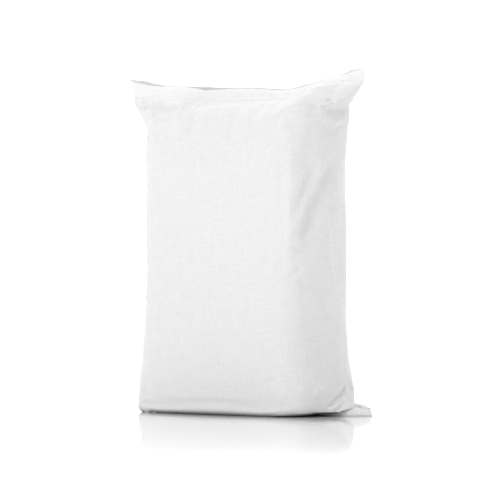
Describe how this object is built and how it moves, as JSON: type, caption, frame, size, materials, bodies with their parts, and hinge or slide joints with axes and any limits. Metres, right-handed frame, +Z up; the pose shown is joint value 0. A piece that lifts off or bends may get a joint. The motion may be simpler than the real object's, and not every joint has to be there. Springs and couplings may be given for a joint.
{
  "type": "cement bag",
  "caption": "Filled pillow sack of white woven polypropylene, standing upright on its sewn bottom, with a hemmed top edge and corner ears.",
  "frame": {"origin": "on the floor, at the middle of the standing sack's bounding box", "axes": "+Z up, X along the sewn seams, -Y out of the broad front face, +Y out of the broad back face"},
  "size_m": [0.5454, 0.204, 0.6208],
  "materials": {
    "woven_polypropylene": "satin",
    "polyester_thread": "matte"
  },
  "bodies": {
    "root": {"filled_sack": "woven_polypropylene", "top_seam_thread": "polyester_thread", "bottom_seam_thread": "polyester_thread"}
  },
  "joints": []
}
